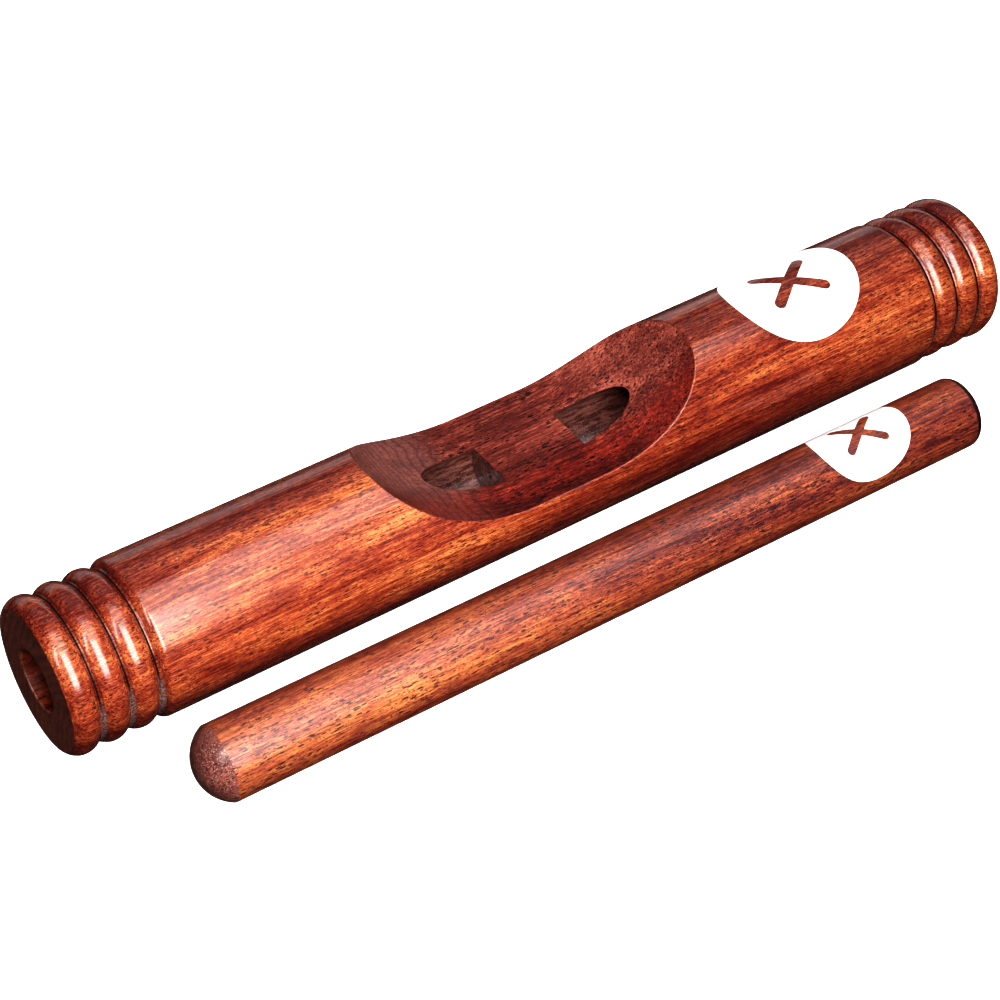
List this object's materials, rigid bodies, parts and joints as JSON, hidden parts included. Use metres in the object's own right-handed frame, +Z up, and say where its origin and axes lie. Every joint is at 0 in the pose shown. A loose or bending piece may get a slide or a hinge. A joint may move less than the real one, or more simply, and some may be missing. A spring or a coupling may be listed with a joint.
{
  "type": "claves",
  "caption": "Hollow turned wooden clave with beaded ends, a scooped waist and two sound holes, beside a solid round striker with a domed tip.",
  "frame": {"origin": "on the surface that the pair lies on, under the middle of the pair's box", "axes": "+X along the hollow clave towards the labelled end, +Y from the striker towards the hollow clave, +Z up, out of the scoop"},
  "size_m": [0.305, 0.0754, 0.0441],
  "materials": {
    "clave_wood": "gloss lacquer over red-brown wood",
    "striker_wood": "satin lacquer over red-brown wood",
    "label_white": "thin white transfer"
  },
  "bodies": {
    "hollow_clave": {"clave_body": "clave_wood", "clave_label": "label_white"},
    "striker_stick": {"striker": "striker_wood", "striker_label": "label_white"}
  },
  "joints": [
    {"name": "striker_lift", "type": "slide", "parent": "hollow_clave", "child": "striker_stick", "axis": [0, 0, 1], "range_m": [0, 0.15]}
  ]
}
